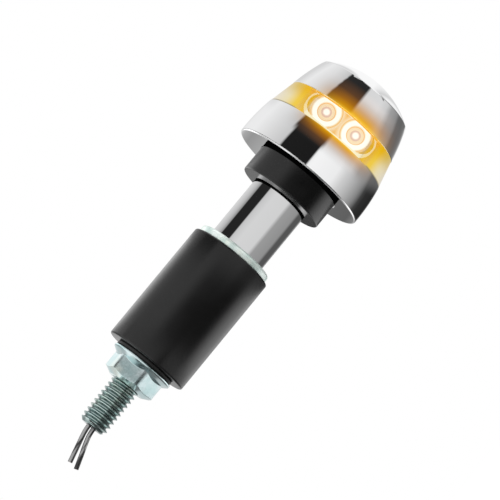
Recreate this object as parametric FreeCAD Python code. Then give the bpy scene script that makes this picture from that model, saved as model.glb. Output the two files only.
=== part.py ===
"""Bar-end turn signal indicator for a motorcycle handlebar, as separate solids in millimetres.

+X runs along the handlebar towards the domed cap, +Z is up, and the two pairs of LEDs face -Y and +Y.
The origin is the centre of the head's underside, the face that rests against the end of the handlebar.
The head stays outside the handlebar. Everything with x below 0 goes into its bore, where turning the
flange nut squeezes the rubber expander sleeve until it grips.
"""
import FreeCAD, Part
import math
import os

# Head, outside: heights are x, measured from the underside
BASE_TOP = 8.0
BASE_FOOT_R = 13.85
BASE_TOP_R = 13.25
BASE_BOW = 0.22
LENS_TOP = 13.4
LENS_FOOT_R = 13.2
LENS_TOP_R = 11.95
CAP_FOOT_R = 12.0
CAP_SIDE_BOW = 0.17
CREASE_X = 20.2
CREASE_R = 10.1
DOME_TOP = 23.5
BASE_EDGE_ROUND = 0.3
CREASE_ROUND = 0.35
RIM_ROUND = 0.12

# Head, inside
FLOOR_TOP = 3.0
POCKET_R = 9.9
SHELF_X = 7.2
BOARD_SEAT_R = 10.65
RIM_INNER_R = 11.7
COLLAR_RECESS_R = 9.0
COLLAR_RECESS = 0.4
CAVITY_TOP = 18.4
CAVITY_FOOT_R = 10.5
CAVITY_TOP_R = 9.2
LENS_WALL = 1.5
SEAL_WIDTH = 0.7
SEAL_DEPTH = 0.6
BOARD_RIM_STEP = 0.2

# Cap screws: M2, from below, with low heads hidden by the collar
SCREW_CIRCLE_R = 6.8
SCREW_R = 1.0
SCREW_SEAT_X = 1.8
SCREW_LENGTH = 16.0
SCREW_HEAD_R = 1.7
SCREW_HEAD_HEIGHT = 1.3
SCREW_SOCKET_FLATS = 1.3
SCREW_SOCKET_DEPTH = 0.7
SCREW_PLAY = 0.1
SCREW_TIP_ROOM = 0.3
BOSS_R = 2.1
BOSS_SUNK = 0.2

# Hollow stud: M6 x 1, with a hexagonal head sunk in the floor
PITCH = 1.0
THREAD_R = 2.95
THREAD_DEPTH = 0.58
CREST_FLAT = 0.125
FLANK_ANGLE = 30.0
THREAD_END = -61.2
THREAD_TURNS = 20
THREAD_SUNK = 0.05
STUD_END_CHAMFER = 0.75
STUD_BORE_R = 1.25
STUD_SEAT_X = 2.0
STUD_HEAD_HEIGHT = 3.0
STUD_HEAD_FLATS = 10.0
STUD_HEAD_PLAY = 0.05
STUD_HOLE_R = 3.1

# Collar, spacer tube and washer below the head
COLLAR_R = 8.8
COLLAR_END = -5.24
COLLAR_BEVEL = 0.3
TUBE_R = 5.85
TUBE_BORE_R = 3.3
TUBE_SUNK = 0.6
TUBE_PLAY = 0.05
TUBE_END = -18.4
TUBE_BEVEL = 0.15
WASHER_R = 7.85
WASHER_BORE_R = 3.2
WASHER_THICKNESS = 1.46
WASHER_ROLLED_EDGE = 0.55

# Rubber expander sleeve
SLEEVE_R = 8.55
SLEEVE_BORE_R = 3.3
SLEEVE_END = -45.28
SLEEVE_ROUND = 0.3

# Clamping end: slip washer and flange nut, each a hair clear of its neighbour so that it can turn
RUNNING_GAP = 0.02
SLIP_WASHER_R = 6.3
SLIP_WASHER_BORE_R = 3.15
SLIP_WASHER_THICKNESS = 0.7
NUT_HEIGHT = 5.15
NUT_FLATS = 10.0
NUT_CORNER_R = 5.5
NUT_FLANGE_R = 6.5
NUT_FLANGE_EDGE = 0.55
NUT_FLANGE_ROUND = 0.25
NUT_CONE_R = 5.0
NUT_CONE_HEIGHT = 1.55
NUT_TOP_FACE_R = 3.9
NUT_TOP_BEVEL = 0.85
NUT_TURNED_BY = 15.5
NUT_THREAD_PLAY = 0.1
NUT_MOUTH_BEVEL = 0.55

# Electronics in the head
OPTIC_X = 11.7
OPTIC_SPACING = 7.0
CORE_HALF_DEPTH = 3.4
CORE_HALF_WIDTH = 8.6
NOTCH_HALF_WIDTH = 2.0
NOTCH_HEIGHT = 0.9
DRIVER_BOARD_R = 10.55
DRIVER_BOARD_THICKNESS = 0.8
LED_BOARD_THICKNESS = 0.8
LED_BOARD_HALF_WIDTH = 7.6
LED_BOARD_HALF_HEIGHT = 2.6
LED_SIZE = 2.4
LED_THICKNESS = 0.45
LED_WINDOW_R = 0.9
LED_WINDOW_HEIGHT = 0.2

# Optics: depth is measured outwards from the LED board's face
COLLIMATOR_R = 3.3
COLLIMATOR_BACK_R = 1.75
COLLIMATOR_BACK = 0.95
COLLIMATOR_BOW = 0.2
COLLIMATOR_EDGE = 3.4
COLLIMATOR_FACE = 3.8
FACE_RECESS_R = 1.85
FACE_RECESS_FLOOR = 3.1
FACE_LENS_R = 1.3
FACE_LENS_RISE = 0.35
BACK_CAVITY_R = 1.1
BACK_CAVITY_CEILING = 1.8
OPTIC_PLATE_BACK = 2.6
OPTIC_PLATE_FRONT = 3.2
OPTIC_HALF_WIDTH = 7.5
OPTIC_HALF_HEIGHT = 2.25
FRAME_WALL = 0.3
FRAME_PLAY = 0.05
FRAME_FRONT = 3.1

# Wires: two, side by side through the stud's bore, bent to slightly different angles below it
WIRE_R = 0.46
WIRE_CORE_R = 0.24
WIRE_BORE_R = 0.27
WIRE_OFFSET = 0.54
WIRE_TOP = 6.9
WIRE_CORE_TOP = 8.5
WIRE_BEND_FROM = -61.0
WIRE_BEND_R = 9.0
SIGNAL_WIRE_BEND = 14.0
GROUND_WIRE_BEND = 19.0
WIRE_TAIL = 5.6
PLUG_R = 2.2
PLUG_FLANGE = 0.5
PLUG_DEPTH = 1.5
PLUG_HOLE_R = 0.5
BOARD_HOLE_R = 0.35
SOLDER_R = 0.45
SOLDER_HEIGHT = 0.7
SOLDER_TIP = 0.05

CHIP_BEVEL = 0.15

# Driver components under the round board: (y, z, length in y, length in z, height)
DRIVER_CHIPS = [
    (7.2, 0.0, 3.6, 4.0, 1.1),
    (-7.0, 0.0, 2.4, 3.4, 1.0),
    (-6.4, 4.2, 1.3, 2.0, 0.7),
    (-6.4, -4.2, 1.3, 2.0, 0.7),
    (6.4, 4.4, 1.3, 2.0, 0.7),
    (6.4, -4.4, 1.3, 2.0, 0.7),
]

# Making: how far a cut runs past its face, and how near an edge must be to count as the one asked for
CUT_OVER = 1.0
EDGE_MATCH = 0.0005

# Places that follow from the sizes above
STUD_HEAD_TOP = STUD_SEAT_X + STUD_HEAD_HEIGHT
WASHER_END = TUBE_END - WASHER_THICKNESS
SLIP_TOP = SLEEVE_END - RUNNING_GAP
SLIP_END = SLIP_TOP - SLIP_WASHER_THICKNESS
NUT_FOOT = SLIP_END - RUNNING_GAP
NUT_END = NUT_FOOT - NUT_HEIGHT
BOARD_FACE_Y = CORE_HALF_DEPTH + LED_BOARD_THICKNESS
DRIVER_BOARD_TOP = SHELF_X + DRIVER_BOARD_THICKNESS

ALONG_X = FreeCAD.Vector(1, 0, 0)
ORIGIN = FreeCAD.Vector(0, 0, 0)


def vec(x, y, z):
    return FreeCAD.Vector(x, y, z)


def side(start, end, bow):
    """The edge between two corners of an outline, bowed out to its left by the given height."""
    if bow == 0:
        return Part.makeLine(start, end)
    along = end - start
    out = vec(-along.y, along.x, 0).normalize()
    middle = (start + end) / 2 + out * bow
    return Part.Arc(start, middle, end).toShape()


def dome_bow(rim_r, rise):
    """How far a spherical dome's half outline, from its rim to its top, bows out from a straight line."""
    sphere_r = (rim_r**2 + rise**2) / (2 * rise)
    half_chord = math.hypot(rim_r, rise) / 2
    return sphere_r - math.sqrt(sphere_r**2 - half_chord**2)


def turned(*corners):
    """A solid turned about the X axis from a closed outline of (x, radius) corners.

    A third value in a corner bows the side that starts there to the left of its direction.
    """
    points = [vec(corner[0], corner[1], 0) for corner in corners]
    bows = [corner[2] if len(corner) > 2 else 0 for corner in corners]
    ends = points[1:] + points[:1]
    edges = [side(start, end, bow) for start, end, bow in zip(points, ends, bows)]
    solid = Part.Face(Part.Wire(edges)).revolve(ORIGIN, ALONG_X, 360)
    if solid.Volume < 0:
        solid.reverse()
    return solid


def tube(start, end, outer_r, inner_r=0.0):
    """A round bar or tube between two x positions."""
    return turned((start, inner_r), (start, outer_r), (end, outer_r), (end, inner_r))


def rings(solid, places):
    """The circular edges about the X axis at the given (x, radius) places."""
    found = []
    for edge in solid.Edges:
        if edge.Degenerated or not isinstance(edge.Curve, Part.Circle):
            continue
        centre = edge.Curve.Center
        on_axis = math.hypot(centre.y, centre.z) < EDGE_MATCH
        near = [abs(centre.x - x) < EDGE_MATCH and abs(edge.Curve.Radius - r) < EDGE_MATCH for x, r in places]
        if on_axis and any(near):
            found.append(edge)
    return found


def rounded(solid, radius, *places):
    return solid.makeFillet(radius, rings(solid, places))


def bevelled(solid, size, *places):
    return solid.makeChamfer(size, rings(solid, places))


def block(low, high):
    """A rectangular block between two opposite corners."""
    return Part.makeBox(high[0] - low[0], high[1] - low[1], high[2] - low[2], vec(*low))


def hexagon(start, end, flats, turned_by=0.0):
    """A hexagonal bar along X. At 0 degrees two of its corners point along +Y and -Y."""
    corner_r = flats / math.sqrt(3)
    angles = [math.radians(turned_by + 60 * k) for k in range(7)]
    outline = [vec(start, corner_r * math.cos(a), corner_r * math.sin(a)) for a in angles]
    return Part.Face(Part.makePolygon(outline)).extrude(vec(end - start, 0, 0))


def stadium(half_width, half_height, back, front):
    """A bar with round ends, its outline wide in Z and high in X, lying from y = -back to y = -front."""
    reach = half_width - half_height
    middle = block(
        (OPTIC_X - half_height, -front, -reach),
        (OPTIC_X + half_height, -back, reach),
    )
    ends = [
        Part.makeCylinder(half_height, front - back, vec(OPTIC_X, -back, z), vec(0, -1, 0))
        for z in (-reach, reach)
    ]
    return middle.multiFuse(ends).removeSplitter()


def to_rear(solid):
    """The same piece on the far side of the head, turned half a turn about the handlebar's axis."""
    copy = solid.copy()
    copy.rotate(ORIGIN, ALONG_X, 180)
    return copy


def at_both(offset, solid):
    """Two copies of a piece modelled on the axis, moved to +Z and to -Z by the offset."""
    copies = []
    for z in (-offset, offset):
        copy = solid.copy()
        copy.translate(vec(0, 0, z))
        copies.append(copy)
    return copies


def thread_turn(play):
    """One pitch of a right-hand threaded rod along Z, made larger all over by the play."""
    flank_run = math.tan(math.radians(FLANK_ANGLE))
    crest_r = THREAD_R + play
    root_r = crest_r - THREAD_DEPTH
    foot_r = root_r - THREAD_SUNK
    crest_half = CREST_FLAT / 2 + play * (1 - flank_run)
    foot_half = crest_half + (crest_r - foot_r) * flank_run
    outline = Part.makePolygon([
        vec(foot_r, 0, -foot_half),
        vec(crest_r, 0, -crest_half),
        vec(crest_r, 0, crest_half),
        vec(foot_r, 0, foot_half),
        vec(foot_r, 0, -foot_half),
    ])
    ridge = Part.Wire(Part.makeHelix(PITCH, 3 * PITCH, foot_r)).makePipeShell([outline], True, True)
    core = Part.makeCylinder(root_r, 3 * PITCH)
    middle = Part.makeCylinder(2 * THREAD_R, PITCH, vec(0, 0, PITCH))
    turn = core.fuse(ridge).common(middle)
    turn.translate(vec(0, 0, -PITCH))
    return turn


def threaded_rod(first_turn, turns, play=0.0, chamfer=0.0):
    """Turns of thread stacked along X, counted from the stud's end so that all threads are in step."""
    turn = thread_turn(play)
    stack = []
    for k in range(turns):
        copy = turn.copy()
        copy.translate(vec(0, 0, PITCH * k))
        stack.append(copy)
    if chamfer > 0:
        stack[0] = stack[0].common(Part.makeCone(THREAD_R - chamfer, THREAD_R - chamfer + PITCH, PITCH))
    rod = stack[0].multiFuse(stack[1:])
    rod.rotate(ORIGIN, vec(0, 1, 0), 90)
    rod.translate(vec(THREAD_END + PITCH * first_turn, 0, 0))
    return rod


def end_cap():
    """Domed chrome cap with a hollow inside and two bosses for the screws."""
    shell = turned(
        (LENS_TOP, CAVITY_FOOT_R),
        (LENS_TOP, CAP_FOOT_R, CAP_SIDE_BOW),
        (CREASE_X, CREASE_R, dome_bow(CREASE_R, DOME_TOP - CREASE_X)),
        (DOME_TOP, 0),
        (CAVITY_TOP, 0),
        (CAVITY_TOP, CAVITY_TOP_R),
    )
    shell = rounded(shell, CREASE_ROUND, (CREASE_X, CREASE_R))
    shell = rounded(shell, RIM_ROUND, (LENS_TOP, CAP_FOOT_R))
    shell = shell.multiFuse(at_both(SCREW_CIRCLE_R, tube(LENS_TOP, CAVITY_TOP + BOSS_SUNK, BOSS_R)))
    hole_end = SCREW_SEAT_X + SCREW_LENGTH + SCREW_TIP_ROOM
    holes = at_both(SCREW_CIRCLE_R, tube(LENS_TOP, hole_end, SCREW_R))
    groove = tube(LENS_TOP, LENS_TOP + SEAL_DEPTH, *seal_radii(LENS_TOP_R))
    return shell.cut(holes + [groove]).removeSplitter()


def seal_radii(lens_outer_r):
    """The outer and inner radius of the seal that lies in the middle of a lens edge."""
    middle = lens_outer_r - LENS_WALL / 2
    return middle + SEAL_WIDTH / 2, middle - SEAL_WIDTH / 2


def base_housing():
    """Chrome base ring with its floor, board shelf, stud pocket and collar recess."""
    body = turned(
        (COLLAR_RECESS, 0),
        (COLLAR_RECESS, COLLAR_RECESS_R),
        (0, COLLAR_RECESS_R),
        (0, BASE_FOOT_R, BASE_BOW),
        (BASE_TOP, BASE_TOP_R),
        (BASE_TOP, RIM_INNER_R),
        (DRIVER_BOARD_TOP - BOARD_RIM_STEP, RIM_INNER_R),
        (DRIVER_BOARD_TOP - BOARD_RIM_STEP, BOARD_SEAT_R),
        (SHELF_X, BOARD_SEAT_R),
        (SHELF_X, POCKET_R),
        (FLOOR_TOP, POCKET_R),
        (FLOOR_TOP, 0),
    )
    body = rounded(body, BASE_EDGE_ROUND, (0, BASE_FOOT_R))
    body = rounded(body, RIM_ROUND, (BASE_TOP, BASE_TOP_R))
    stud_hole = tube(0, FLOOR_TOP, STUD_HOLE_R)
    stud_pocket = hexagon(STUD_SEAT_X, FLOOR_TOP + CUT_OVER, STUD_HEAD_FLATS + 2 * STUD_HEAD_PLAY)
    screw_holes = at_both(SCREW_CIRCLE_R, tube(0, FLOOR_TOP + CUT_OVER, SCREW_R + SCREW_PLAY))
    head_sinks = at_both(SCREW_CIRCLE_R, tube(0, SCREW_SEAT_X, SCREW_HEAD_R + SCREW_PLAY))
    groove = tube(BASE_TOP - SEAL_DEPTH, BASE_TOP, *seal_radii(LENS_FOOT_R))
    return body.cut([stud_hole, stud_pocket, groove] + screw_holes + head_sinks).removeSplitter()


def lens_band():
    """Clear band all the way round, nearly flush with the metal above and below it."""
    return turned(
        (BASE_TOP, LENS_FOOT_R - LENS_WALL),
        (BASE_TOP, LENS_FOOT_R),
        (LENS_TOP, LENS_TOP_R),
        (LENS_TOP, LENS_TOP_R - LENS_WALL),
    )


def lens_seal_lower():
    return tube(BASE_TOP - SEAL_DEPTH, BASE_TOP, *seal_radii(LENS_FOOT_R))


def lens_seal_upper():
    return tube(LENS_TOP, LENS_TOP + SEAL_DEPTH, *seal_radii(LENS_TOP_R))


def cap_screws():
    """Two M2 screws with hexagon sockets, their threads drawn plain."""
    head_foot = SCREW_SEAT_X - SCREW_HEAD_HEIGHT
    screw = turned(
        (head_foot, 0),
        (head_foot, SCREW_HEAD_R),
        (SCREW_SEAT_X, SCREW_HEAD_R),
        (SCREW_SEAT_X, SCREW_R),
        (SCREW_SEAT_X + SCREW_LENGTH, SCREW_R),
        (SCREW_SEAT_X + SCREW_LENGTH, 0),
    )
    socket = hexagon(head_foot, head_foot + SCREW_SOCKET_DEPTH, SCREW_SOCKET_FLATS)
    return Part.makeCompound(at_both(SCREW_CIRCLE_R, screw.cut(socket)))


def heat_sink_core():
    """Aluminium block between the two LED boards, drilled for the screws and notched over the solder."""
    core = block(
        (DRIVER_BOARD_TOP, -CORE_HALF_DEPTH, -CORE_HALF_WIDTH),
        (LENS_TOP, CORE_HALF_DEPTH, CORE_HALF_WIDTH),
    )
    notch = block(
        (DRIVER_BOARD_TOP, -CORE_HALF_DEPTH, -NOTCH_HALF_WIDTH),
        (DRIVER_BOARD_TOP + NOTCH_HEIGHT, CORE_HALF_DEPTH, NOTCH_HALF_WIDTH),
    )
    holes = at_both(SCREW_CIRCLE_R, tube(DRIVER_BOARD_TOP, LENS_TOP, SCREW_R + SCREW_PLAY))
    return core.cut([notch] + holes)


def driver_board():
    """Round circuit board on the base's shelf, drilled for the screws and the two wires."""
    board = tube(SHELF_X, DRIVER_BOARD_TOP, DRIVER_BOARD_R)
    holes = at_both(SCREW_CIRCLE_R, tube(SHELF_X, DRIVER_BOARD_TOP, SCREW_R + SCREW_PLAY))
    holes += at_both(WIRE_OFFSET, tube(SHELF_X, DRIVER_BOARD_TOP, BOARD_HOLE_R))
    return board.cut(holes)


def driver_components():
    """Chips, resistors and capacitors on the underside of the driver board."""
    chips = []
    for y, z, long_y, long_z, height in DRIVER_CHIPS:
        chip = block(
            (SHELF_X - height, y - long_y / 2, z - long_z / 2),
            (SHELF_X, y + long_y / 2, z + long_z / 2),
        )
        low_edges = [e for e in chip.Edges if e.BoundBox.XMax < SHELF_X - height + 1e-4]
        chips.append(chip.makeChamfer(CHIP_BEVEL, low_edges))
    return Part.makeCompound(chips)


def solder_joints():
    """A cone of solder round each bare wire, with the wire's own hole through it."""
    cone = turned(
        (DRIVER_BOARD_TOP, WIRE_BORE_R),
        (DRIVER_BOARD_TOP, SOLDER_R),
        (DRIVER_BOARD_TOP + SOLDER_HEIGHT, WIRE_BORE_R + SOLDER_TIP),
        (DRIVER_BOARD_TOP + SOLDER_HEIGHT, WIRE_BORE_R),
    )
    return Part.makeCompound(at_both(WIRE_OFFSET, cone))


def led_board():
    return block(
        (OPTIC_X - LED_BOARD_HALF_HEIGHT, -BOARD_FACE_Y, -LED_BOARD_HALF_WIDTH),
        (OPTIC_X + LED_BOARD_HALF_HEIGHT, -CORE_HALF_DEPTH, LED_BOARD_HALF_WIDTH),
    )


def facing_forward(solid, z):
    """Turn a piece modelled along X to face -Y, standing on the front LED board at the given z."""
    copy = solid.copy()
    copy.rotate(ORIGIN, vec(0, 0, 1), -90)
    copy.translate(vec(OPTIC_X, -BOARD_FACE_Y, z))
    return copy


def leds():
    """Two square LEDs, each with a low round window."""
    half = LED_SIZE / 2
    package = block((0, -half, -half), (LED_THICKNESS, half, half))
    window = tube(LED_THICKNESS, LED_THICKNESS + LED_WINDOW_HEIGHT, LED_WINDOW_R)
    led = package.fuse(window)
    return Part.makeCompound([facing_forward(led, z) for z in (-OPTIC_SPACING / 2, OPTIC_SPACING / 2)])


def optic():
    """One clear moulding: two collimators in a plate, trimmed to the frame that holds them."""
    cup = turned(
        (BACK_CAVITY_CEILING, 0),
        (COLLIMATOR_BACK, BACK_CAVITY_R),
        (COLLIMATOR_BACK, COLLIMATOR_BACK_R, COLLIMATOR_BOW),
        (COLLIMATOR_EDGE, COLLIMATOR_R),
        (COLLIMATOR_FACE, COLLIMATOR_R),
        (COLLIMATOR_FACE, FACE_RECESS_R),
        (FACE_RECESS_FLOOR, FACE_RECESS_R),
        (FACE_RECESS_FLOOR, FACE_LENS_R, dome_bow(FACE_LENS_R, FACE_LENS_RISE)),
        (FACE_RECESS_FLOOR + FACE_LENS_RISE, 0),
    )
    cups = [facing_forward(cup, z) for z in (-OPTIC_SPACING / 2, OPTIC_SPACING / 2)]
    plate = stadium(
        OPTIC_HALF_WIDTH,
        OPTIC_HALF_HEIGHT,
        BOARD_FACE_Y + OPTIC_PLATE_BACK,
        BOARD_FACE_Y + OPTIC_PLATE_FRONT,
    )
    for z in (-OPTIC_SPACING / 2, OPTIC_SPACING / 2):
        opening = tube(OPTIC_PLATE_BACK, OPTIC_PLATE_FRONT, COLLIMATOR_BACK_R)
        plate = plate.cut(facing_forward(opening, z))
    outline = stadium(
        OPTIC_HALF_WIDTH,
        OPTIC_HALF_HEIGHT,
        BOARD_FACE_Y,
        BOARD_FACE_Y + COLLIMATOR_FACE,
    )
    return plate.multiFuse(cups).common(outline).removeSplitter()


def optic_frame():
    """Bright rim that stands on the LED board and holds the optic."""
    inner_width = OPTIC_HALF_WIDTH + FRAME_PLAY
    inner_height = OPTIC_HALF_HEIGHT + FRAME_PLAY
    front = BOARD_FACE_Y + FRAME_FRONT
    outer = stadium(inner_width + FRAME_WALL, inner_height + FRAME_WALL, BOARD_FACE_Y, front)
    return outer.cut(stadium(inner_width, inner_height, BOARD_FACE_Y, front))


def hollow_stud():
    """Hollow M6 stud: hexagonal head, plain shank and a right-hand thread at the nut's end."""
    threaded = threaded_rod(0, THREAD_TURNS, chamfer=STUD_END_CHAMFER)
    shank = tube(THREAD_END + PITCH * THREAD_TURNS, STUD_SEAT_X, THREAD_R)
    head = hexagon(STUD_SEAT_X, STUD_HEAD_TOP, STUD_HEAD_FLATS)
    bore = tube(THREAD_END, STUD_HEAD_TOP, STUD_BORE_R)
    return threaded.multiFuse([shank, head]).cut(bore)


def centring_collar():
    """Black ring that centres the head in the handlebar's bore, counterbored for the spacer tube."""
    collar = tube(COLLAR_END, COLLAR_RECESS, COLLAR_R, STUD_HOLE_R)
    collar = bevelled(collar, COLLAR_BEVEL, (COLLAR_RECESS, COLLAR_R))
    collar = rounded(collar, COLLAR_BEVEL, (COLLAR_END, COLLAR_R))
    return collar.cut(tube(COLLAR_END, COLLAR_END + TUBE_SUNK, TUBE_R + TUBE_PLAY))


def spacer_tube():
    """Polished tube between the collar and the upper washer."""
    start = COLLAR_END + TUBE_SUNK
    body = tube(TUBE_END, start, TUBE_R, TUBE_BORE_R)
    return bevelled(body, TUBE_BEVEL, (TUBE_END, TUBE_R), (start, TUBE_R))


def upper_washer():
    """Thick plated washer with the rolled edge of a stamping on its upper side."""
    washer = tube(WASHER_END, TUBE_END, WASHER_R, WASHER_BORE_R)
    washer = rounded(washer, WASHER_ROLLED_EDGE, (TUBE_END, WASHER_R))
    return bevelled(washer, TUBE_BEVEL, (WASHER_END, WASHER_R))


def expander_sleeve():
    """Rubber sleeve that swells and grips the handlebar when it is squeezed."""
    sleeve = tube(SLEEVE_END, WASHER_END, SLEEVE_R, SLEEVE_BORE_R)
    return rounded(sleeve, SLEEVE_ROUND, (SLEEVE_END, SLEEVE_R), (WASHER_END, SLEEVE_R))


def slip_washer():
    """Thin black washer that lets the nut turn without dragging the rubber round."""
    washer = tube(SLIP_END, SLIP_TOP, SLIP_WASHER_R, SLIP_WASHER_BORE_R)
    return bevelled(washer, TUBE_BEVEL, (SLIP_END, SLIP_WASHER_R), (SLIP_TOP, SLIP_WASHER_R))


def clamp_nut():
    """M6 flange nut with its thread in step with the stud's."""
    hexagon_part = hexagon(NUT_END, NUT_FOOT, NUT_FLATS, NUT_TURNED_BY).common(turned(
        (NUT_END, 0),
        (NUT_END, NUT_TOP_FACE_R),
        (NUT_END + NUT_TOP_BEVEL, NUT_CORNER_R),
        (NUT_FOOT, NUT_CORNER_R),
        (NUT_FOOT, 0),
    ))
    flange = turned(
        (NUT_FOOT, 0),
        (NUT_FOOT, NUT_FLANGE_R),
        (NUT_FOOT - NUT_FLANGE_EDGE, NUT_FLANGE_R),
        (NUT_FOOT - NUT_CONE_HEIGHT, NUT_CONE_R),
        (NUT_FOOT - NUT_CONE_HEIGHT, 0),
    )
    flange = rounded(
        flange,
        NUT_FLANGE_ROUND,
        (NUT_FOOT, NUT_FLANGE_R),
        (NUT_FOOT - NUT_FLANGE_EDGE, NUT_FLANGE_R),
    )
    mouth_r = THREAD_R + 2 * NUT_THREAD_PLAY
    mouths = [
        turned((face, 0), (face, mouth_r), (face + inwards, mouth_r - NUT_MOUTH_BEVEL), (face + inwards, 0))
        for face, inwards in ((NUT_END, NUT_MOUTH_BEVEL), (NUT_FOOT, -NUT_MOUTH_BEVEL))
    ]
    first_turn = math.floor((NUT_END - THREAD_END) / PITCH) - 1
    turns = math.ceil((NUT_FOOT - THREAD_END) / PITCH) + 1 - first_turn
    thread = threaded_rod(first_turn, turns, NUT_THREAD_PLAY)
    return hexagon_part.fuse(flange).removeSplitter().cut(mouths).cut(thread)


def wire_plug():
    """Rubber plug that seals the stud's upper end round the two wires."""
    plug = turned(
        (STUD_HEAD_TOP - PLUG_DEPTH, 0),
        (STUD_HEAD_TOP - PLUG_DEPTH, STUD_BORE_R),
        (STUD_HEAD_TOP, STUD_BORE_R),
        (STUD_HEAD_TOP, PLUG_R),
        (STUD_HEAD_TOP + PLUG_FLANGE, PLUG_R),
        (STUD_HEAD_TOP + PLUG_FLANGE, 0),
    )
    holes = at_both(WIRE_OFFSET, tube(STUD_HEAD_TOP - PLUG_DEPTH, STUD_HEAD_TOP + PLUG_FLANGE, PLUG_HOLE_R))
    return plug.cut(holes)


def along_wire(z, bend_angle, top, outer_r, inner_r=0.0):
    """A round bar or tube that follows one wire: down the stud, round a bend towards -Z, then straight."""
    rod = tube(WIRE_BEND_FROM, top, outer_r, inner_r)
    rod.translate(vec(0, 0, z))
    section = Part.Face(Part.Wire(Part.makeCircle(outer_r, vec(WIRE_BEND_FROM, 0, z), ALONG_X)))
    if inner_r > 0:
        hole = Part.Face(Part.Wire(Part.makeCircle(inner_r, vec(WIRE_BEND_FROM, 0, z), ALONG_X)))
        section = section.cut(hole)
    centre = vec(WIRE_BEND_FROM, 0, -WIRE_BEND_R)
    across = vec(0, 1, 0)
    bend = section.revolve(centre, across, -bend_angle)
    if bend.ShapeType != "Solid":
        bend = bend.Solids[0]
    tail = tube(WIRE_BEND_FROM - WIRE_TAIL, WIRE_BEND_FROM, outer_r, inner_r)
    tail.translate(vec(0, 0, z))
    tail.rotate(centre, across, -bend_angle)
    return rod.multiFuse([bend, tail]).removeSplitter()


def write(name, shape):
    shape.exportStep(os.path.join("parts", name + ".step"))


def main():
    os.makedirs("parts", exist_ok=True)
    write("end_cap", end_cap())
    write("base_housing", base_housing())
    write("lens_band", lens_band())
    write("lens_seal_lower", lens_seal_lower())
    write("lens_seal_upper", lens_seal_upper())
    write("cap_screws", cap_screws())
    write("heat_sink_core", heat_sink_core())
    write("driver_board", driver_board())
    write("driver_components", driver_components())
    write("solder_joints", solder_joints())
    lit_side = [
        ("led_board", led_board()),
        ("leds", leds()),
        ("optic", optic()),
        ("optic_frame", optic_frame()),
    ]
    for name, shape in lit_side:
        write("front_" + name, shape)
        write("rear_" + name, to_rear(shape))
    write("hollow_stud", hollow_stud())
    write("wire_plug", wire_plug())
    write("centring_collar", centring_collar())
    write("spacer_tube", spacer_tube())
    write("upper_washer", upper_washer())
    write("expander_sleeve", expander_sleeve())
    write("slip_washer", slip_washer())
    write("clamp_nut", clamp_nut())
    wires = [("signal", WIRE_OFFSET, SIGNAL_WIRE_BEND), ("ground", -WIRE_OFFSET, GROUND_WIRE_BEND)]
    for name, z, bend_angle in wires:
        write(name + "_wire", along_wire(z, bend_angle, WIRE_TOP, WIRE_R, WIRE_BORE_R))
        write(name + "_wire_core", along_wire(z, bend_angle, WIRE_CORE_TOP, WIRE_CORE_R))


main()
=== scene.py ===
"""Looks of the bar-end turn signal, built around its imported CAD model.

Everything is in metres, in the model's own frame: +X runs along the handlebar towards the domed cap,
+Z is up, and the lamp's front faces -Y. MM turns millimetres into metres.
"""
import bmesh
import bpy
import math
from mathutils import Matrix, Vector


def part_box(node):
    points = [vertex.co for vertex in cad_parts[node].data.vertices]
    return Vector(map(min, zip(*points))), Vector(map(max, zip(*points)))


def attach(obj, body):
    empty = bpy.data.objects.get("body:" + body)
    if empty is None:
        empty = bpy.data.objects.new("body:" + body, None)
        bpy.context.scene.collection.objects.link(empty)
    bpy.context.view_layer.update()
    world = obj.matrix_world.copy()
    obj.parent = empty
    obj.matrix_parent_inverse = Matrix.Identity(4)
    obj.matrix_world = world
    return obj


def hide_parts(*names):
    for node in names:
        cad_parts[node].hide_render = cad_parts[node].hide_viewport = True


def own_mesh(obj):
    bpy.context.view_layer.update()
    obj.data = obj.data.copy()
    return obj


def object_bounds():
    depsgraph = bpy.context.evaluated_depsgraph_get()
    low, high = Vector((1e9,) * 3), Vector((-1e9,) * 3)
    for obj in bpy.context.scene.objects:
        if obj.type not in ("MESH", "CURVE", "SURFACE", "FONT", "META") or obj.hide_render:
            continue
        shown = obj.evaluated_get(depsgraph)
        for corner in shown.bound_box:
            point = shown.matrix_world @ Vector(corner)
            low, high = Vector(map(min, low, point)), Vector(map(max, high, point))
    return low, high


MM = 0.001

# Camera: where it looks, from how far, and how the handlebar's axis lies in the picture
CAMERA_AIM_X = -16.53 * MM
CAMERA_AIM_Z = -1.85 * MM
CAMERA_DISTANCE = 533.9 * MM
CAMERA_LENS_MM = 204.2
CAMERA_SEES = (0.01, 20)
AXIS_LEAN = 39.48
AXIS_TILT = 8.53

# The rubber sleeve's mesh: its bore is a share of the spacer tube's radius
SLEEVE_ROUND = 0.35 * MM
SLEEVE_BORE_SHARE = 0.565
AROUND = 224
CORNER_STEPS = 6
SHARP_ANGLE = 32

# World: what matt surfaces get from below and from above
WORLD_GREYS = (0.45, 0.95)
WORLD_BLEND = (-0.6, 0.9)

# Floor: pale paper near the lamp, plain white beyond
FLOOR_Z = -75 * MM
FLOOR_HALF = 1.5
FLOOR_GREYS = (0.86, 0.90)
FLOOR_FADE = (60 * MM, 130 * MM)

# Key light, above the front
KEY_PLACE = (-0.12, -0.30, 0.42)
KEY_SIZE = 0.3
KEY_WATTS = 3.0

# Light tent: a tube of soft cards round the handlebar's axis, with a dark end, seen only in reflections
TENT_R = 60 * MM
TENT_ENDS = (-200 * MM, 250 * MM)
TENT_SIDES = 96
TENT_STRENGTH = 2.0
TENT_END_GREYS = (30, 50)

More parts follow.
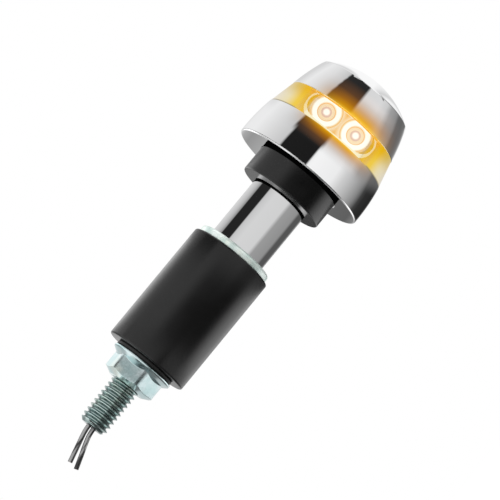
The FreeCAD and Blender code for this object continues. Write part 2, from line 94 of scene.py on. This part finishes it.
# What each stretch of the tent holds, as soft cards: (degrees round the part from the lamp's front towards
# +Z, grey on a display). From one card to the next the grey runs evenly.
FAR_CARDS = [(-90, 110), (-45, 130), (0, 160), (45, 240), (90, 250)]
STUD_CARDS = [
    (-90, 215), (-78, 205), (-62, 95), (-25, 75), (-12, 120), (-4, 235), (45, 260), (60, 150), (75, 190),
    (90, 240),
]
NUT_CARDS = [
    (-90, 230), (-30, 250), (-18, 240), (-17, 50), (-13, 50), (-11, 150), (25, 155), (41, 190), (43, 60),
    (46, 60), (48, 255), (90, 255),
]
FLANGE_CARDS = [(-90, 230), (-30, 215), (0, 235), (90, 250)]
SLEEVE_CARDS = [
    (-90, 100), (-86, 100), (-85, 190), (-75, 255), (-55, 310), (-46, 255), (-40, 110), (-33, 20), (-8, 20),
    (5, 85), (18, 220), (48, 215), (56, 225), (65, 300), (75, 310), (85, 250), (86, 150), (90, 180),
]
TUBE_CARDS = [
    (-90, 105), (-86, 95), (-85, 190), (-80, 160), (-75, 110), (-70, 85), (-55, 85), (-48, 145), (-25, 155),
    (-18, 210), (10, 213), (20, 203), (24.5, 195), (26.5, 36), (47, 36), (49, 145), (56, 185), (65, 203),
    (85, 222), (86, 145), (90, 185),
]
BASE_CARDS = [
    (-90, 195), (-86, 170), (-81, 50), (-75, 38), (-62, 46), (-57, 65), (-50, 135), (-30, 206), (-22, 238),
    (-2, 246), (0, 240), (1.5, 28), (26, 30), (28, 200), (50, 228), (60, 238), (75, 236), (90, 220),
]
CAP_CARDS = [
    (-96, 250), (-90, 210), (-86, 250), (-80, 160), (-75, 120), (-70, 108), (-65, 100), (-55, 102),
    (-50, 140), (-38, 160), (-30, 205), (-20, 218), (-2, 216), (1, 40), (28, 42), (30, 197), (45, 222),
    (60, 236), (75, 214), (85, 215), (88, 250),
]

# Stretches of the tent, from the wires' end to the dome: where each takes over from the one before, in mm
# along X, its cards, the part that reflects it, and how far in degrees that part leans in there. The camera
# stands towards -X, so a part reflects a stretch that lies further along +X than the part does.
TENT_STRETCHES = [
    (-130, -110, STUD_CARDS, "hollow_stud", 0),
    (-47.0, -46.6, NUT_CARDS, "clamp_nut", 0),
    (-42.0, -41.7, FLANGE_CARDS, "clamp_nut", 0),
    (-40.5, -40.1, SLEEVE_CARDS, "expander_sleeve", 0),
    (-12.8, -12.4, TUBE_CARDS, "spacer_tube", 0),
    (5.6, 6.0, BASE_CARDS, "base_housing", 4),
    (19, 27, CAP_CARDS, "end_cap", 6),
    (34, 38, CAP_CARDS, "end_cap", 10),
    (46, 49, CAP_CARDS, "end_cap", 12),
    (54, 57, CAP_CARDS, "end_cap", 14),
    (62, 65, CAP_CARDS, "end_cap", 16),
    (70, 73, CAP_CARDS, "end_cap", 18),
    (79, 82, CAP_CARDS, "end_cap", 20),
    (89, 93, CAP_CARDS, "end_cap", 22),
]

# Painted amber glow on the chrome beside the lit band: (share of its reach, colour on a display), how
# far it reaches up and down, where it fades out sideways, and how far its middle lies off the lamp's
PAINTED_AMBER_GLOW_FALL = [
    (0.0, (230, 180, 45)), (0.1, (205, 140, 15)), (0.3, (160, 100, 15)), (0.6, (85, 50, 15)),
    (1.0, (0, 0, 0)),
]
AMBER_REACH_UP = 5.6 * MM
AMBER_REACH_DOWN = 3.6 * MM
AMBER_SIDEWAYS = (10.5 * MM, 2.5 * MM)
AMBER_OFFSET = 1.2 * MM

# The chrome's reflections there get this painted amber tint too: shares of the reach where that ends and
# where it is full
PAINTED_AMBER_REFLECTION_TINT = (0.27, 0.19, 0.03)
PAINTED_AMBER_TINT_SPAN = (0.85, 0.05)

# Inside walls of the base and cap, painted glowing as if lit by the LEDs: how far out they reach, and their
# glow's colour on a display
CAP_INSIDE_R = 10.7 * MM
BASE_INSIDE_R = 12.4 * MM
PAINTED_INSIDE_GLOW = (236, 168, 36)

# Lens: clear in a window over the optics and lit beside it. The window's sides and the colours (on a
# display) are placed by how far they lie sideways, as a share of the lens's radius.
LENS_WINDOW = (0.60, 0.68)
LENS_COVER = 0.96
LENS_NEAR_BASE = [
    (0.60, (243, 195, 15)), (0.70, (240, 205, 75)), (0.82, (235, 222, 178)), (0.95, (235, 226, 205)),
    (1.00, (245, 238, 235)),
]
LENS_NEAR_CAP = [
    (0.60, (240, 191, 0)), (0.70, (232, 180, 5)), (0.82, (218, 188, 90)), (0.92, (228, 206, 150)),
    (1.00, (238, 232, 214)),
]
LENS_ABOVE_BASE = 1.5 * MM
LENS_BELOW_CAP = 0.5 * MM
LENS_CLEAR_TINT = (1.0, 0.97, 0.90)
LENS_SHINE = 0.5

# The lens's dull lower edge
LENS_EDGE = 0.35 * MM
LENS_EDGE_COLOUR = (150, 140, 110)

# Optics: two to a side, this far apart, each with rings round its middle: (mm, colour on a display). Past
# the rings, at the pair's two ends only, lies a golden gap.
OPTIC_SPACING = 7 * MM
OVER_WHITE = (276, 276, 276)
MAUVE = (234, 202, 192)
CREAM = (255, 236, 206)
ORANGE = (250, 200, 120)
OPTIC_RINGS = [
    (0.45, OVER_WHITE), (0.80, MAUVE), (0.95, MAUVE), (1.10, CREAM), (1.55, CREAM), (1.72, (250, 190, 110)),
    (1.92, OVER_WHITE), (2.65, OVER_WHITE), (2.85, CREAM), (3.05, ORANGE), (3.25, CREAM), (4.00, ORANGE),
]
GAP_ACROSS = (1.0 * MM, 2.0 * MM)
GAP_FROM = (3.15 * MM, 3.35 * MM)
GAP_COLOUR = (226, 176, 0)
OPTIC_SHINE = 0.05

# Zinc: how far the nut's edges are rounded, and the distances from the axis between which the painted shade
# in the stud's grooves fades out
NUT_EDGE = 0.12 * MM
STUD_GROOVES = (2.45 * MM, 2.92 * MM)
# How far the painted shade darkens the stud's grooves, and the shade's colour
GROOVE_SHADE_SHARE = 0.5
GROOVE_SHADE_COLOUR = (0.07, 0.12, 0.12)
ZINC_PITTING = 0.15
ZINC_SCRATCHES = 0.16

# Collar: how far its shading leans towards -X, and how much less where it faces the front
COLLAR_LEAN = 0.67
COLLAR_LEAN_LESS = 0.4

# Wires: how glossy their streaks are
WIRE_SHINE = 0.4

# How deep the finest relief of any finish is
RELIEF = 0.02 * MM

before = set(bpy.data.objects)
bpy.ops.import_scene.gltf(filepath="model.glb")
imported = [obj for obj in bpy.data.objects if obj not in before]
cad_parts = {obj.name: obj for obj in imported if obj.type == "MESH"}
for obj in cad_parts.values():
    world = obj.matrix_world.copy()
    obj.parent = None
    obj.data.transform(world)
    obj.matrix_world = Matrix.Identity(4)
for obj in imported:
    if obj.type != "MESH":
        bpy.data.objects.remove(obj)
cad_low, cad_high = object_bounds()


# ---------------------------------------------------------------- meshes

def new_object(name, data):
    piece = bpy.data.objects.new(name, data)
    bpy.context.scene.collection.objects.link(piece)
    return piece


def rounded_corner(before, corner, after, radius):
    """Points on the arc that replaces a corner of an outline."""
    to_before = (before - corner).normalized()
    to_after = (after - corner).normalized()
    half_angle = to_before.angle(to_after) / 2
    reach = radius / math.tan(half_angle)
    centre = corner + (to_before + to_after).normalized() * (radius / math.sin(half_angle))
    start = corner + to_before * reach - centre
    end = corner + to_after * reach - centre
    turn = start.angle_signed(end)
    points = []
    for k in range(CORNER_STEPS + 1):
        spun = start.copy()
        spun.rotate(Matrix.Rotation(-turn * k / CORNER_STEPS, 2))
        points.append(centre + spun)
    return points


def outline(corners):
    """Points round a closed outline. A corner is (x, radius, how far it is rounded)."""
    places = [Vector((x, radius)) for x, radius, rounding in corners]
    points = []
    for k, place in enumerate(places):
        rounding = corners[k][2]
        if rounding:
            after = places[(k + 1) % len(places)]
            points += rounded_corner(places[k - 1], place, after, rounding)
        else:
            points.append(place)
    return points


def lathe(name, corners):
    """A ring with the given outline, turned about the X axis."""
    bm = bmesh.new()
    rings = []
    for point in outline(corners):
        ring = []
        for k in range(AROUND):
            angle = 2 * math.pi * k / AROUND
            ring.append(bm.verts.new((point.x, point.y * math.cos(angle), point.y * math.sin(angle))))
        rings.append(ring)
    for here, there in zip(rings, rings[1:] + rings[:1]):
        for k in range(AROUND):
            after = (k + 1) % AROUND
            bm.faces.new((here[k], here[after], there[after], there[k]))
    bmesh.ops.recalc_face_normals(bm, faces=bm.faces)
    mesh = bpy.data.meshes.new(name)
    bm.to_mesh(mesh)
    bm.free()
    smooth(mesh)
    return new_object(name, mesh)


def smooth(mesh):
    """Smooth shading, with an edge kept sharp where its faces meet at more than SHARP_ANGLE."""
    mesh.shade_smooth()
    bm = bmesh.new()
    bm.from_mesh(mesh)
    for edge in bm.edges:
        edge.smooth = edge.calc_face_angle() < math.radians(SHARP_ANGLE)
    bm.to_mesh(mesh)
    bm.free()


# ---------------------------------------------------------------- node materials

class Shader:
    """A material or world and short ways to add nodes to it."""

    def __init__(self, owner):
        owner.use_nodes = True
        self.owner = owner
        self.tree = owner.node_tree
        self.tree.nodes.clear()

    def put(self, socket, value):
        if isinstance(value, bpy.types.NodeSocket):
            self.tree.links.new(value, socket)
        elif isinstance(value, (tuple, list)) and len(value) == 3 and socket.type == "RGBA":
            socket.default_value = (*value, 1)
        else:
            socket.default_value = value

    def add(self, kind, settings=None, **inputs):
        node = self.tree.nodes.new("ShaderNode" + kind)
        for name, value in (settings or {}).items():
            setattr(node, name, value)
        for name, value in inputs.items():
            self.put(node.inputs[name.replace("_", " ")], value)
        return node

    def math(self, operation, *values, clamp=False):
        node = self.add("Math", {"operation": operation, "use_clamp": clamp})
        for socket, value in zip(node.inputs, values):
            self.put(socket, value)
        return node.outputs[0]

    def scaled(self, value, factor, offset):
        """The value times a factor, plus an offset."""
        return self.math("ADD", self.math("MULTIPLY", value, factor), offset)

    def length(self, across, up):
        """How long the flat vector (across, up) is."""
        return self.math("SQRT", self.math("ADD", self.math("POWER", across, 2), self.math("POWER", up, 2)))

    def mix(self, factor, first, second, blend="MIX"):
        node = self.add("MixRGB", {"blend_type": blend}, Fac=factor)
        self.put(node.inputs["Color1"], first)
        self.put(node.inputs["Color2"], second)
        return node.outputs[0]

    def over(self, factor, under, above):
        """One surface over another: only the lower at a factor of 0, only the upper at 1."""
        node = self.add("MixShader", Fac=factor)
        self.put(node.inputs[1], under)
        self.put(node.inputs[2], above)
        return node.outputs[0]

    def band(self, value, start, end):
        """0 before start, 1 after end, smooth between; start may be the larger."""
        node = self.add("MapRange", {"interpolation_type": "SMOOTHSTEP", "clamp": True})
        for name, number in (("From Min", start), ("From Max", end)):
            self.put(node.inputs[name], number)
        self.put(node.inputs["Value"], value)
        return node.outputs[0]

    def place(self):
        """x, y and z of the point being shaded, in metres."""
        coordinates = self.add("TexCoord").outputs["Object"]
        return self.add("SeparateXYZ", Vector=coordinates).outputs

    def noise(self, scale, detail=3.0, stretch=(1, 1, 1)):
        coordinates = self.add("TexCoord").outputs["Object"]
        stretched = self.add("Mapping", Vector=coordinates, Scale=stretch).outputs[0]
        return self.add("TexNoise", Vector=stretched, Scale=scale, Detail=detail).outputs["Fac"]

    def bump(self, height, strength, **inputs):
        """A normal roughened by shallow relief."""
        return self.add("Bump", Height=height, Strength=strength, Distance=RELIEF, **inputs).outputs[0]

    def ramp(self, value, stops):
        """A colour ramp from (position, colour) stops in rising order."""
        node = self.add("ValToRGB", Fac=value)
        elements = node.color_ramp.elements
        elements.remove(elements[1])
        elements[0].position = stops[0][0]
        elements[0].color = (*stops[0][1], 1)
        for position, colour in stops[1:]:
            elements.new(position).color = (*colour, 1)
        return node.outputs[0]

    def glossy(self, level, roughness, **inputs):
        """A mirror-like coat."""
        return self.add("BsdfGlossy", Color=grey(level), Roughness=roughness, **inputs).outputs[0]

    def principled(self, colour, metallic, roughness, normal=None):
        node = self.add("BsdfPrincipled", Base_Color=colour, Metallic=metallic, Roughness=roughness)
        if normal is not None:
            self.put(node.inputs["Normal"], normal)
        return node.outputs[0]

    def glowing(self, colour, strength=1.0):
        """A surface that glows. It is seen and reflected, but not sampled as a lamp."""
        self.owner.cycles.emission_sampling = "NONE"
        return self.add("Emission", Color=colour, Strength=strength).outputs[0]

    def surface(self, shader):
        self.put(self.add("OutputMaterial").inputs["Surface"], shader)
        return self.owner


def material(name):
    return Shader(bpy.data.materials.new(name))


def grey(level):
    return (level, level, level)


def shown(level):
    """The light that a display shows as the given grey, from 0 to 255."""
    share = level / 255
    return share / 12.92 if share < 0.04045 else ((share + 0.055) / 1.055) ** 2.4


def as_shown(red, green, blue):
    """The colour that a display shows as the given red, green and blue, from 0 to 255."""
    return (shown(red), shown(green), shown(blue))


def shown_stops(stops, full=1.0):
    """Ramp stops from (position, colour on a display), where full is the position of the ramp's end."""
    return [(position / full, as_shown(*colour)) for position, colour in stops]


# ---------------------------------------------------------------- stage

def tent_angle(theta, radius, lean):
    """Where on the tent lies what is reflected at an angle round a part of the given radius.

    The part's side leans in towards its top by the given degrees.
    """
    theta = math.radians(theta)
    double = 2 * math.cos(math.radians(lean)) ** 2
    turned = math.atan2(double * math.cos(theta) * math.sin(theta), double * math.cos(theta) ** 2 - 1)
    if abs(theta) > math.pi / 2:
        turned += math.copysign(2 * math.pi, theta)
    return math.degrees(turned - math.asin(radius / TENT_R * math.sin(theta)))


def card_row(s, turn, cards, node, lean):
    """The cards of one stretch of the tent. Turn is 0 to 1 round the tent, 0.5 facing the lamp's front."""
    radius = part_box(node)[1].z
    stops = []
    for theta, level in cards:
        place = 0.5 + tent_angle(theta, radius, lean) / 360
        stops.append((place, grey(shown(level) / TENT_STRENGTH)))
    return s.ramp(turn, stops)


def tent_material():
    """Soft cards in stretches along the tent, each stretch meant for the part that reflects it."""
    s = material("light_tent")
    x, y, z = s.place()
    angle = s.math("ARCTAN2", z, s.math("MULTIPLY", y, -1))
    turn = s.math("ADD", s.math("DIVIDE", angle, 2 * math.pi), 0.5)
    light = card_row(s, turn, FAR_CARDS, "hollow_stud", 0)
    for start, end, cards, node, lean in TENT_STRETCHES:
        row = card_row(s, turn, cards, node, lean)
        light = s.mix(s.band(x, start * MM, end * MM), light, row)
    return s.surface(s.glowing(light, TENT_STRENGTH))


def make_tent():
    bm = bmesh.new()
    angles = [2 * math.pi * k / TENT_SIDES for k in range(TENT_SIDES)]
    rings = []
    for x in TENT_ENDS:
        rings.append([bm.verts.new((x, TENT_R * math.cos(a), TENT_R * math.sin(a))) for a in angles])
    for k in range(TENT_SIDES):
        after = (k + 1) % TENT_SIDES
        bm.faces.new((rings[0][k], rings[0][after], rings[1][after], rings[1][k]))
    dark_end = bm.faces.new(rings[0])
    dark_end.material_index = 1
    mesh = bpy.data.meshes.new("light_tent")
    bm.to_mesh(mesh)
    bm.free()
    tent = new_object("light_tent", mesh)
    mesh.materials.append(tent_material())
    mesh.materials.append(lit("tent_end", *[grey(shown(level)) for level in TENT_END_GREYS]))
    tent.visible_camera = False
    tent.visible_diffuse = False
    tent.visible_transmission = False
    tent.visible_shadow = False


def make_world():
    """White behind the lamp and in its reflections; softer, and brighter from above, for matt surfaces."""
    world = bpy.data.worlds.new("studio")
    bpy.context.scene.world = world
    s = Shader(world)
    up = s.add("SeparateXYZ", Vector=s.add("TexCoord").outputs["Generated"]).outputs["Z"]
    below, above = WORLD_GREYS
    soft = s.mix(s.band(up, *WORLD_BLEND), grey(below), grey(above))
    matt_rays = s.add("LightPath").outputs["Is Diffuse Ray"]
    background = s.add("Background", Color=s.mix(matt_rays, grey(1.0), soft))
    s.put(s.add("OutputWorld").inputs["Surface"], background.outputs[0])


def make_floor():
    """A pale floor that takes the lamp's soft shadow and turns plain white away from it."""
    mesh = bpy.data.meshes.new("floor")
    corners = [(x * FLOOR_HALF, y * FLOOR_HALF, FLOOR_Z) for x, y in ((-1, -1), (1, -1), (1, 1), (-1, 1))]
    mesh.from_pydata(corners, [], [(0, 1, 2, 3)])
    floor = new_object("floor", mesh)
    s = material("pale_floor")
    x, y, z = s.place()
    middle = (cad_low.x + cad_high.x) / 2
    away = s.length(s.math("SUBTRACT", x, middle), y)
    darker, lighter = FLOOR_GREYS
    paper = s.add("BsdfDiffuse", Color=s.mix(s.noise(900, 2), grey(darker), grey(lighter))).outputs[0]
    mesh.materials.append(s.surface(s.over(s.band(away, *FLOOR_FADE), paper, s.glowing(grey(1.0)))))


def make_key_light():
    """One large soft light above the front, left out of reflections, which the tent takes care of."""
    data = bpy.data.lights.new("key", "AREA")
    data.energy = KEY_WATTS
    data.size = KEY_SIZE
    light = new_object("key", data)
    place = Vector(KEY_PLACE)
    light.matrix_world = Matrix.Translation(place) @ place.to_track_quat("Z", "Y").to_matrix().to_4x4()
    light.visible_glossy = False


def make_camera():
    """A camera that sees the axis leaning in the picture and tilting towards the dome."""
    lean, tilt = math.radians(AXIS_LEAN), math.radians(AXIS_TILT)
    axis = Vector((math.sin(lean) * math.cos(tilt), math.cos(lean) * math.cos(tilt), -math.sin(tilt)))
    up = Vector((-math.cos(lean), math.sin(lean), 0))
    side = up.cross(axis)
    turn = Matrix((axis, side, up))
    data = bpy.data.cameras.new("camera")
    data.lens = CAMERA_LENS_MM
    data.clip_start, data.clip_end = CAMERA_SEES
    camera = new_object("camera", data)
    back = turn @ Vector((0, 0, 1))
    aim = Vector((CAMERA_AIM_X, 0, CAMERA_AIM_Z))
    camera.matrix_world = Matrix.Translation(aim + back * CAMERA_DISTANCE) @ turn.to_4x4()
    bpy.context.scene.camera = camera


# ---------------------------------------------------------------- finishes

def chrome_surface(s, tint=(1.0, 1.0, 1.0)):
    """Polished chrome with faint hairlines and a little haze."""
    hairlines = s.noise(2600, 4, stretch=(0.06, 1, 1))
    haze = s.noise(140, 3)
    roughness = s.math("ADD", s.math("MULTIPLY", hairlines, 0.012), s.math("MULTIPLY", haze, 0.015))
    colour = s.mix(1.0, s.mix(haze, (0.96, 0.965, 0.975), grey(0.985)), tint, "MULTIPLY")
    return s.principled(colour, 1.0, roughness, s.bump(hairlines, 0.02))


def chrome():
    s = material("chrome")
    return s.surface(chrome_surface(s))


def chrome_with_painted_glow(name, rim_x, reach, inner_r, top_x):
    """Chrome beside the lit band: a painted amber glow lies over it, fading over the reach, with a painted
    amber tint on its reflections, and a painted LED glow fills the inside.
    """
    s = material(name)
    x, y, z = s.place()
    share = s.math("DIVIDE", s.math("SUBTRACT", x, rim_x), reach, clamp=True)
    turned = s.math("MULTIPLY", s.math("SIGN", y), z)
    sideways = s.math("ABSOLUTE", s.math("SUBTRACT", turned, AMBER_OFFSET))
    across = s.band(sideways, *AMBER_SIDEWAYS)
    # Painted amber glow on the chrome: its colour fades over the reach, and its strength fades sideways
    amber = s.ramp(share, shown_stops(PAINTED_AMBER_GLOW_FALL))
    # Painted amber tint on the chrome's reflections, full close to the lit band
    painted_tint_share = s.math("MULTIPLY", s.band(share, *PAINTED_AMBER_TINT_SPAN), across)
    both = s.add("AddShader")
    s.put(both.inputs[0], chrome_surface(s, s.mix(painted_tint_share, grey(1.0), PAINTED_AMBER_REFLECTION_TINT)))
    s.put(both.inputs[1], s.glowing(amber, across))
    # Painted LED glow on the inside walls of the base and cap
    inside = s.math("MULTIPLY", s.math("LESS_THAN", s.length(y, z), inner_r), s.math("LESS_THAN", x, top_x))
    inside = s.math("MULTIPLY", inside, s.math("GREATER_THAN", x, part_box("driver_board")[0].x))
    return s.surface(s.over(inside, both.outputs[0], s.glowing(as_shown(*PAINTED_INSIDE_GLOW))))


def lens_glow():
    """Clear over the optics; lit amber beside them, paling to cream round the sides."""
    s = material("lens")
    x, y, z = s.place()
    low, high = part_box("lens_band")
    sideways = s.math("DIVIDE", s.math("ABSOLUTE", z), high.z)
    near_base = s.ramp(sideways, shown_stops(LENS_NEAR_BASE))
    near_cap = s.ramp(sideways, shown_stops(LENS_NEAR_CAP))
    colour = s.mix(s.band(x, low.x + LENS_ABOVE_BASE, high.x - LENS_BELOW_CAP), near_base, near_cap)
    edged = s.mix(s.band(x, low.x + LENS_EDGE, low.x), colour, as_shown(*LENS_EDGE_COLOUR))
    clear = s.add("BsdfTransparent", Color=LENS_CLEAR_TINT).outputs[0]
    beside = s.math("MULTIPLY", s.band(sideways, *LENS_WINDOW), LENS_COVER)
    body = s.over(beside, clear, s.glowing(edged))
    fresnel = s.math("MULTIPLY", s.add("Fresnel", IOR=1.45).outputs[0], LENS_SHINE)
    return s.surface(s.over(fresnel, body, s.glossy(1.0, 0.05)))


def optic_glow():
    """A lit pair of optics: a white spot in pale rings, each ring a band of distance from its middle."""
    s = material("optic")
    x, y, z = s.place()
    low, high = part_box("front_optic")
    across = s.math("SUBTRACT", s.math("ABSOLUTE", z), OPTIC_SPACING / 2)
    along = s.math("SUBTRACT", x, (low.x + high.x) / 2)
    radius = s.length(across, along)
    last_ring = OPTIC_RINGS[-1][0]
    rings = s.ramp(s.math("DIVIDE", radius, last_ring * MM), shown_stops(OPTIC_RINGS, last_ring))
    gap = s.math("MULTIPLY", s.band(across, *GAP_ACROSS), s.band(radius, *GAP_FROM))
    colour = s.mix(gap, rings, as_shown(*GAP_COLOUR))
    return s.surface(s.over(OPTIC_SHINE, s.glowing(colour), s.glossy(1.0, 0.1)))


def lit(name, colour, paler):
    """Plain lit surfaces, a little uneven."""
    s = material(name)
    return s.surface(s.glowing(s.mix(s.noise(500), colour, paler)))


def rubber():
    """Satin black rubber with a fine moulded grain and a trace of dust."""
    s = material("rubber")
    grain = s.noise(9000, 2)
    cloud = s.noise(160, 4)
    colour = s.mix(cloud, grey(0.002), grey(0.006))
    return s.surface(s.principled(colour, 0.0, s.scaled(cloud, 0.08, 0.20), s.bump(grain, 0.25)))


def collar_plastic():
    """Satin black plastic with faint turning lines, shaded as if it had a draft; a painted black reflection
    where mirrored.
    """
    s = material("collar_plastic")
    lines = s.noise(1800, 3, stretch=(1, 0.05, 0.05))
    cloud = s.noise(260, 4)
    straight = s.add("NewGeometry").outputs["Normal"]
    facing = s.math("ABSOLUTE", s.add("SeparateXYZ", Vector=straight).outputs["Y"])
    slope = s.math("SUBTRACT", s.math("MULTIPLY", facing, COLLAR_LEAN_LESS), COLLAR_LEAN)
    leaned = s.add("VectorMath", {"operation": "ADD"})
    s.put(leaned.inputs[0], straight)
    s.put(leaned.inputs[1], s.add("CombineXYZ", X=slope).outputs[0])
    draft = s.add("VectorMath", {"operation": "NORMALIZE"})
    s.put(draft.inputs[0], leaned.outputs[0])
    normal = s.bump(lines, 0.12, Normal=draft.outputs[0])
    colour = s.mix(cloud, grey(0.002), grey(0.006))
    plastic = s.principled(colour, 0.0, s.scaled(cloud, 0.08, 0.18), normal)
    # Painted black reflection: wherever the collar is mirrored, it shows near-black
    mirrored = s.add("LightPath").outputs["Is Glossy Ray"]
    return s.surface(s.over(mirrored, plastic, s.glowing(grey(0.001))))


def zinc(name, dark, light, roughness, streaks=(1, 1, 1), metallic=1.0, edge=None, grooves=None):
    """Passivated zinc plating: cool metal with cloudy tints and fine pitting.

    Its edges can be rounded by a radius, and it can take painted shade near the axis, up to its grooves' two
    distances.
    """
    s = material(name)
    cloud = s.noise(420, 5)
    warm = (light[0] * 1.05, light[1], light[2] * 0.90)
    tint = s.mix(s.band(s.noise(230, 2), 0.45, 0.75), light, warm)
    colour = s.mix(s.band(cloud, 0.3, 0.7), dark, tint)
    if grooves:
        x, y, z = s.place()
        # Painted shade in the stud's grooves, full nearest the axis
        groove_shaded = s.mix(GROOVE_SHADE_SHARE, colour, GROOVE_SHADE_COLOUR)
        colour = s.mix(s.band(s.length(y, z), *grooves), groove_shaded, colour)
    scratches = s.noise(2200, 4, stretch=streaks)
    rounded = {"Normal": s.add("Bevel", {"samples": 6}, Radius=edge).outputs[0]} if edge else {}
    normal = s.bump(scratches, ZINC_PITTING, **rounded)
    return s.surface(s.principled(colour, metallic, s.scaled(scratches, ZINC_SCRATCHES, roughness), normal))


def wire_plastic():
    """Black insulation, glossy in streaks along the wire."""
    s = material("wire_insulation")
    lines = s.noise(1600, 3, stretch=(0.05, 1, 1))
    normal = s.bump(lines, 0.3)
    plastic = s.principled(s.mix(lines, grey(0.004), grey(0.015)), 0.0, 0.14, normal)
    streaks = s.math("MULTIPLY", s.band(lines, 0.40, 0.60), WIRE_SHINE)
    return s.surface(s.over(streaks, plastic, s.glossy(0.9, 0.12, Normal=normal)))


def plain(name, colour, lighter, roughness, metallic=0.0):
    """Finish for small or hidden pieces, with mild variation."""
    s = material(name)
    mottled = s.mix(s.noise(700, 3), colour, lighter)
    return s.surface(s.principled(mottled, metallic, s.scaled(s.noise(1500), 0.15, roughness)))


# ---------------------------------------------------------------- pieces

def dress(node, finish):
    """Give a CAD node its finish."""
    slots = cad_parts[node].data.materials
    slots.clear()
    slots.append(finish)


def dress_lamp():
    lens_low, lens_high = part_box("lens_band")
    cavity_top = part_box("cap_screws")[1].x
    dress("end_cap", chrome_with_painted_glow("cap_chrome_painted_glow", lens_high.x, AMBER_REACH_UP, CAP_INSIDE_R, cavity_top))
    dress("base_housing", chrome_with_painted_glow(
        "base_chrome_painted_glow", lens_low.x, -AMBER_REACH_DOWN, BASE_INSIDE_R, lens_low.x))
    dress("lens_band", lens_glow())
    optic = optic_glow()
    # The optic frames, LED boards, heat sink core and seals are no lamps: their glow is painted light from
    # the LEDs
    rim = lit("optic_rim", as_shown(255, 250, 215), as_shown(255, 254, 235))
    board = lit("board_painted_glow", as_shown(226, 172, 28), as_shown(238, 190, 50))
    led = lit("led", grey(1.3), grey(1.5))
    for side in ("front", "rear"):
        dress(side + "_optic", optic)
        dress(side + "_optic_frame", rim)
        dress(side + "_led_board", board)
        dress(side + "_leds", led)
    dress("heat_sink_core", board)
    seal = lit("seal_painted_glow", as_shown(235, 170, 45), as_shown(245, 190, 80))
    for node in ("lens_seal_lower", "lens_seal_upper"):
        dress(node, seal)


def dress_inside():
    dress("driver_board", plain("board_green", (0.02, 0.16, 0.06), (0.03, 0.22, 0.09), 0.35))
    dress("driver_components", plain("chip_black", grey(0.02), grey(0.04), 0.45))
    dress("solder_joints", plain("solder", grey(0.55), grey(0.70), 0.25, metallic=1.0))
    dress("cap_screws", plain("screw_steel", grey(0.40), grey(0.55), 0.28, metallic=1.0))
    dress("wire_plug", plain("plug_rubber", grey(0.012), grey(0.03), 0.6))
    insulation = wire_plastic()
    copper = plain("wire_copper", (0.75, 0.33, 0.18), (0.90, 0.48, 0.28), 0.25, metallic=1.0)
    for wire in ("signal_wire", "ground_wire"):
        dress(wire, insulation)
        dress(wire + "_core", copper)


def dress_clamp():
    dress("centring_collar", collar_plastic())
    dress("spacer_tube", chrome())
    dress("upper_washer", zinc(
        "washer_zinc", (0.55, 0.68, 0.64), (0.90, 0.98, 0.95), 0.30, streaks=(0.25, 1, 1), metallic=0.6))
    dress("slip_washer", plain("slip_black", grey(0.006), grey(0.015), 0.35))
    dress("clamp_nut", zinc("nut_zinc", (0.62, 0.82, 0.83), (0.81, 0.93, 0.95), 0.05, edge=NUT_EDGE))
    dress("hollow_stud", zinc(
        "stud_zinc", (0.46, 0.58, 0.57), (0.72, 0.84, 0.82), 0.10, grooves=STUD_GROOVES))


def make_sleeve():
    """The rubber sleeve, rounded at its ends, built at the CAD part's length; the real sleeve shortens as
    the nut squeezes it.
    """
    low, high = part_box("expander_sleeve")
    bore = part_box("spacer_tube")[1].z * SLEEVE_BORE_SHARE
    sleeve = lathe("rubber_sleeve", [
        (high.x, bore, 0),
        (high.x, high.z, SLEEVE_ROUND),
        (low.x, high.z, SLEEVE_ROUND),
        (low.x, bore, 0),
    ])
    sleeve.data.materials.append(rubber())
    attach(sleeve, "lamp")
    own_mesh(sleeve)
    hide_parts("expander_sleeve")


bpy.context.scene.view_settings.view_transform = "Standard"
make_camera()
make_world()
make_floor()
make_tent()
make_key_light()
dress_lamp()
dress_inside()
dress_clamp()
make_sleeve()
